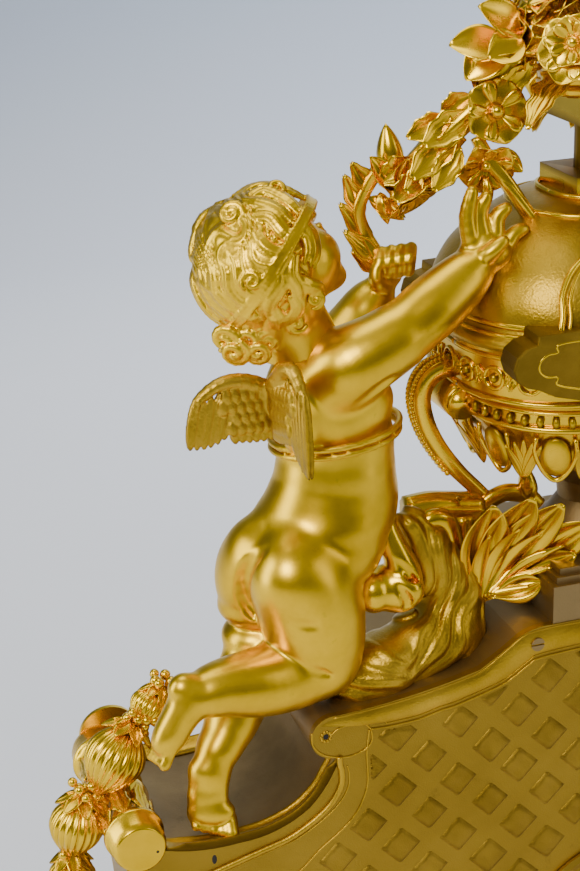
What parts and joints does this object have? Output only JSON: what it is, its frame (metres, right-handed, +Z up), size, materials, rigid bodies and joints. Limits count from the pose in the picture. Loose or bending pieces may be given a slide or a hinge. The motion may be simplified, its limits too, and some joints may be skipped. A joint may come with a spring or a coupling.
{
  "type": "mantel clock",
  "caption": "Gilt-bronze figure clock: scrolled base with dial, hinged bezel, movement and rear door, an urn above, and a winged cherub on each side.",
  "frame": {"origin": "centre of the footprint, on the surface that the feet stand on", "axes": "+Z up, the dial faces -Y, the pictured cherub is on +X"},
  "size_m": [0.566, 0.1346, 0.6],
  "materials": {
    "gilt_bronze": "polished gilt with matte ground",
    "brown_bronze": "satin, browned gilding",
    "movement_brass": "brushed",
    "steel": "dark satin",
    "blued_steel": "blued",
    "enamel": "gloss enamel",
    "glass": "clear"
  },
  "bodies": {
    "case": {"acanthus_left": "gilt_bronze", "acanthus_right": "gilt_bronze", "back_movement_plate": "movement_brass", "base_moulding": "gilt_bronze", "base_shell": "brown_bronze", "bell": "movement_brass", "bell_stand": "movement_brass", "bouquet": "gilt_bronze", "cartouche_plates": "gilt_bronze", "case_screws": "steel", "cherub_left": "gilt_bronze", "cherub_right": "gilt_bronze", "dial": "enamel", "drapery_left": "gilt_bronze", "drapery_right": "gilt_bronze", "feet": "gilt_bronze", "finial_socket": "gilt_bronze", "front_movement_plate": "movement_brass", "front_plate": "gilt_bronze", "garland_left": "gilt_bronze", "garland_right": "gilt_bronze", "handle_left": "gilt_bronze", "handle_right": "gilt_bronze", "hinge_pins": "steel", "husk_chain_left": "gilt_bronze", "husk_chain_right": "gilt_bronze", "movement_straps": "movement_brass", "pillars": "movement_brass", "plinth": "gilt_bronze", "rear_plate": "gilt_bronze", "seat_rock_left": "gilt_bronze", "seat_rock_right": "gilt_bronze", "suspension_cock": "movement_brass", "tie_nut": "steel", "tie_rod": "steel", "urn_body": "gilt_bronze", "urn_cover": "gilt_bronze", "urn_stem": "brown_bronze", "volute_caps": "gilt_bronze", "wings_left": "gilt_bronze", "wings_right": "gilt_bronze"},
    "minute": {"centre_wheel": "movement_brass", "minute_hand": "blued_steel"},
    "hour": {"hour_hand": "blued_steel"},
    "going_barrel": {"going_barrel": "movement_brass"},
    "third": {"third_wheel": "movement_brass"},
    "escape": {"escape_wheel": "movement_brass"},
    "pendulum": {"anchor": "steel", "pendulum_rod": "steel", "pendulum_bob": "movement_brass"},
    "strike_barrel": {"strike_barrel": "movement_brass"},
    "strike_wheel": {"strike_wheel": "movement_brass"},
    "fly": {"fly": "movement_brass"},
    "hammer": {"hammer": "movement_brass"},
    "going_winding": {"going_arbor": "steel"},
    "strike_winding": {"strike_arbor": "steel"},
    "bezel": {"bezel": "gilt_bronze", "dial_glass": "glass"},
    "door": {"rear_door": "gilt_bronze"},
    "latch": {"door_latch": "movement_brass"}
  },
  "joints": [
    {"name": "minute_turn", "type": "hinge", "parent": "case", "child": "minute", "pos_m": [0, -0.01, 0.106], "axis": [0, 1, 0], "continuous": true},
    {"name": "hour_turn", "type": "hinge", "parent": "case", "child": "hour", "pos_m": [0, -0.01, 0.106], "axis": [0, 1, 0], "continuous": true},
    {"name": "going_barrel_turn", "type": "hinge", "parent": "case", "child": "going_barrel", "pos_m": [-0.01697, -0.01, 0.08903], "axis": [0, 1, 0], "continuous": true},
    {"name": "third_turn", "type": "hinge", "parent": "case", "child": "third", "pos_m": [0.009, -0.01, 0.12159], "axis": [0, 1, 0], "continuous": true},
    {"name": "escape_turn", "type": "hinge", "parent": "case", "child": "escape", "pos_m": [0, -0.01, 0.13343], "axis": [0, 1, 0], "continuous": true},
    {"name": "pendulum_swing", "type": "hinge", "parent": "case", "child": "pendulum", "pos_m": [0, 0, 0.14643], "axis": [0, 1, 0], "range_deg": [-4, 4]},
    {"name": "strike_barrel_turn", "type": "hinge", "parent": "case", "child": "strike_barrel", "pos_m": [0.01697, -0.01, 0.08903], "axis": [0, 1, 0], "continuous": true},
    {"name": "strike_wheel_turn", "type": "hinge", "parent": "case", "child": "strike_wheel", "pos_m": [0.02318, -0.01, 0.11221], "axis": [0, 1, 0], "continuous": true},
    {"name": "fly_turn", "type": "hinge", "parent": "case", "child": "fly", "pos_m": [0.03038, -0.01, 0.12468], "axis": [0, 1, 0], "continuous": true},
    {"name": "hammer_swing", "type": "hinge", "parent": "case", "child": "hammer", "pos_m": [0.027, 0, 0.079], "axis": [0, 1, 0], "range_deg": [0, 15], "stiffness_Nm_per_rad": 0.003, "springref_deg": -20.05},
    {"name": "going_wind", "type": "hinge", "parent": "case", "child": "going_winding", "pos_m": [-0.01697, -0.01, 0.08903], "axis": [0, 1, 0], "range_deg": [0, 1620]},
    {"name": "strike_wind", "type": "hinge", "parent": "case", "child": "strike_winding", "pos_m": [0.01697, -0.01, 0.08903], "axis": [0, 1, 0], "range_deg": [0, 1620]},
    {"name": "bezel_open", "type": "hinge", "parent": "case", "child": "bezel", "pos_m": [-0.0736, -0.0506, 0.106], "axis": [0, 0, 1], "range_deg": [-110, 0]},
    {"name": "door_open", "type": "hinge", "parent": "case", "child": "door", "pos_m": [-0.0568, 0.0506, 0.106], "axis": [0, 0, 1], "range_deg": [0, 110]},
    {"name": "latch_turn", "type": "hinge", "parent": "door", "child": "latch", "pos_m": [0.036, 0.0475, 0.106], "axis": [0, 1, 0], "range_deg": [0, 90]}
  ],
  "couplings": [
    {"joint": "hour_turn", "follows": "minute_turn", "ratio": 0.083333},
    {"joint": "going_barrel_turn", "follows": "minute_turn", "ratio": -0.14286},
    {"joint": "third_turn", "follows": "minute_turn", "ratio": -8},
    {"joint": "escape_turn", "follows": "minute_turn", "ratio": 60},
    {"joint": "strike_wheel_turn", "follows": "strike_barrel_turn", "ratio": -7},
    {"joint": "fly_turn", "follows": "strike_barrel_turn", "ratio": 56}
  ]
}
